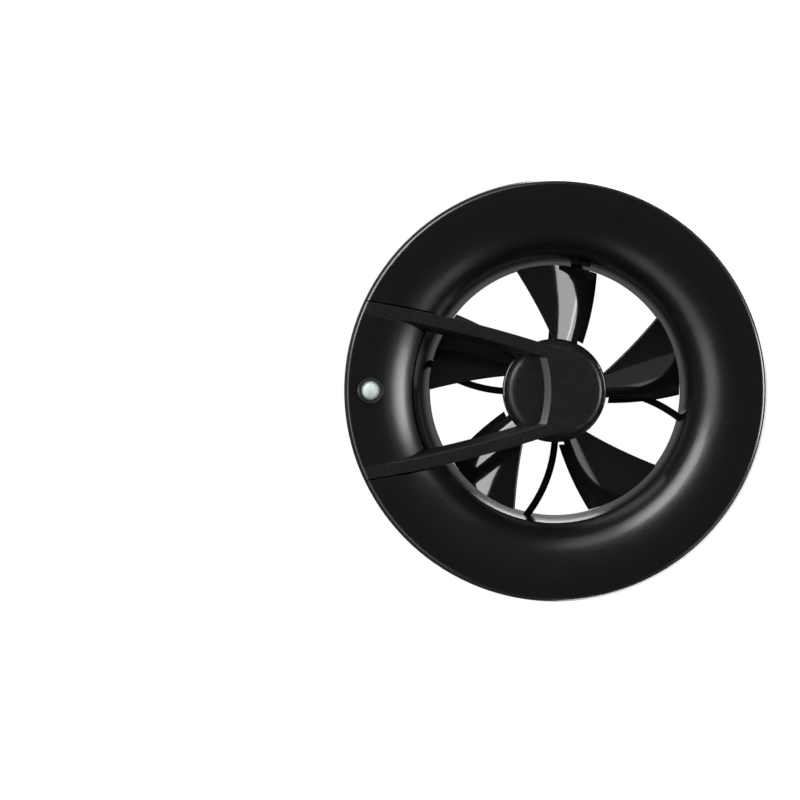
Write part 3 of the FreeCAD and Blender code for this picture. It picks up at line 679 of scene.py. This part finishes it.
@dataclass
class Softbox:
    """A soft rectangular lamp, placed by the angle round the fan's axis and the angle off it.

    Angles are in degrees and sizes in metres. It can be kept off everything but a few nodes.
    """

    name: str
    around: float
    off_axis: float
    width: float
    height: float
    radiance: float
    distance: float = 1.1
    mirrored: bool = True
    only: tuple[str, ...] = ()

    def keep_off(self, lamp: bpy.types.Object) -> None:
        """Keep the lamp off all nodes but those named."""
        lit = bpy.data.collections.new(self.name + "_lit")
        for name in self.only:
            lit.objects.link(frame["nodes"][name])
        lamp.light_linking.receiver_collection = lit

    def build(self) -> None:
        """Make the lamp, aimed at the fan."""
        data = bpy.data.lights.new(self.name, "AREA")
        data.shape = "RECTANGLE"
        data.size = self.width
        data.size_y = self.height
        data.energy = self.radiance * math.pi * self.width * self.height
        lamp = bpy.data.objects.new(self.name, data)
        bpy.context.scene.collection.objects.link(lamp)
        turn = math.radians(self.around)
        lean = math.radians(self.off_axis)
        away = Vector((math.sin(lean) * math.cos(turn), -math.cos(lean), math.sin(lean) * math.sin(turn)))
        lamp.location = away * self.distance
        lamp.rotation_euler = (-away).to_track_quat("-Z", "Y").to_euler()
        lamp.visible_camera = False
        lamp.visible_glossy = self.mirrored
        if self.only:
            self.keep_off(lamp)


# The columns are the angles, the width and height, and the radiance.
# Lamps that would otherwise lie below the floor stand closer.
LAMPS = (
    Softbox("right_box", 0, 84, 0.98, 0.75, 9.0),
    Softbox("right_core", 2, 90, 0.40, 0.50, 13.0),
    Softbox("upper_left_box", 143, 87, 0.85, 0.95, 11.0),
    Softbox("left_box", 190, 79, 0.90, 0.75, 2.7),
    Softbox("lower_left_box", 218, 79, 0.28, 0.30, 1.3, distance=0.34),
    Softbox("top_box", 106, 84, 0.80, 0.40, 2.2),
    Softbox("upper_right_panel", 45, 86, 0.60, 0.50, 0.5),
    Softbox("lower_right_box", 320, 79, 0.26, 0.16, 1.4, distance=0.34),
    Softbox("rim_panel", 55, 145, 0.90, 0.90, 5.0, only=("wall_plate",)),
    Softbox("rim_low_panel", 325, 145, 0.30, 0.34, 3.0, distance=0.34, only=("wall_plate",)),
    Softbox("bore_panel", 82, 171, 0.16, 0.08, 2.6, only=("fan_tube",)),
    Softbox("blade_right_box", 18, 53, 0.43, 0.50, 8.5, only=("impeller",)),
    Softbox("blade_left_box", 160, 52, 0.50, 0.80, 10.0, only=("impeller",)),
    Softbox("blade_low_panel", 308, 50, 0.16, 0.16, 0.45, distance=0.36, only=("impeller",)),
    Softbox("blade_left_panel", 225, 66, 0.15, 0.18, 1.4, distance=0.36, only=("impeller",)),
    Softbox("front_fill", 75, 38, 1.0, 0.8, 1.35, mirrored=False),
)


@dataclass
class Studio:
    """Camera, lamps, white surroundings and a pale floor.

    Lengths are in metres, apart from the sensor in millimetres and the picture in pixels.
    """

    camera_distance: float = 1.0
    image: float = 800.0
    focal: float = 2181.0
    sensor: float = 36.0
    fan_at: tuple[float, float] = (554.3, 390.5)
    floor_drop: float = 0.32
    floor_reach: float = 3.0
    floor_paint: float = 0.05
    floor_glow: float = 1.42
    floor_glow_share: float = 0.7
    ambient: float = 0.28
    # Brightness that reflections find, from the room at 0 to straight behind the fan at 1
    mirrored_room: tuple[tuple[float, float], ...] = (
        (0.68, 0.05), (0.78, 0.2), (0.90, 0.2), (0.94, 0.03), (0.993, 0.03), (0.9968, 0.16),
    )
    lamps: tuple[Softbox, ...] = LAMPS

    def camera(self) -> None:
        """Camera on the fan's axis, turned so that the fan lies right of the middle."""
        data = bpy.data.cameras.new("camera")
        data.sensor_width = self.sensor
        data.lens = self.sensor * self.focal / self.image
        camera = bpy.data.objects.new("camera", data)
        bpy.context.scene.collection.objects.link(camera)
        camera.location = (0.0, -self.camera_distance, 0.0)
        across = math.atan2(self.fan_at[0] - self.image / 2, self.focal)
        down = math.atan2(self.image / 2 - self.fan_at[1], self.focal)
        camera.rotation_euler = (math.pi / 2 - down, 0.0, across)
        bpy.context.scene.camera = camera

    def world(self) -> None:
        """White to the camera, zones for reflections, and a dim room for other light."""
        world = bpy.data.worlds.new("studio")
        world.use_nodes = True
        bpy.context.scene.world = world
        graph = Graph(world.node_tree)
        camera, glossy, through = (graph.node("ShaderNodeLightPath", output=name)
                                   for name in ("Is Camera Ray", "Is Glossy Ray", "Is Transmission Ray"))
        ahead = graph.along("Y", graph.node("ShaderNodeTexCoord", output="Generated"))
        zones = graph.ramp(ahead * 0.5 + 0.5, self.mirrored_room)
        mirrored = glossy + through * (1 - glossy)
        room = mirrored * zones + (1 - mirrored) * self.ambient
        strength = camera + (1 - camera) * room
        light = graph.node("ShaderNodeBackground", {}, {"Color": WHITE, "Strength": strength})
        graph.node("ShaderNodeOutputWorld", {}, {"Surface": light})

    def floor(self) -> None:
        """Pale floor that is white to the camera and keeps a soft shadow."""
        shape = bmesh.new()
        bmesh.ops.create_grid(shape, x_segments=1, y_segments=1, size=self.floor_reach)
        bmesh.ops.translate(shape, verts=shape.verts, vec=(0, 0, -self.floor_drop))
        floor = add_object(shape, "floor")
        material, graph = new_graph("floor")
        seen = graph.node("ShaderNodeLightPath", output="Is Camera Ray")
        grey = (self.floor_paint, self.floor_paint, self.floor_paint, 1.0)
        paint = graph.node("ShaderNodeBsdfDiffuse", {}, {"Color": grey})
        glow = graph.node("ShaderNodeEmission", {}, {"Color": WHITE, "Strength": self.floor_glow})
        both = graph.node("ShaderNodeMixShader", {}, {0: seen * self.floor_glow_share, 1: paint, 2: glow})
        graph.node("ShaderNodeOutputMaterial", {}, {"Surface": both})
        floor.data.materials.append(material)

    def build(self) -> None:
        """Set up the whole studio."""
        bpy.context.scene.view_settings.view_transform = "Standard"
        self.camera()
        self.world()
        self.floor()
        for lamp in self.lamps:
            lamp.build()


def main() -> None:
    """Dress the fan and set up the studio."""
    logging.basicConfig(level=logging.INFO, format="%(message)s")
    wardrobe = Wardrobe()
    wardrobe.dress_nodes()
    SoftEdges("sensor_bridge", Body.HOUSING, 0.35 * MM).build(wardrobe)
    SoftEdges("ring_cover", Body.HOUSING, 0.20 * MM).build(wardrobe)
    FacetLens().build(wardrobe)
    Studio().build()


if __name__ == "__main__":
    main()
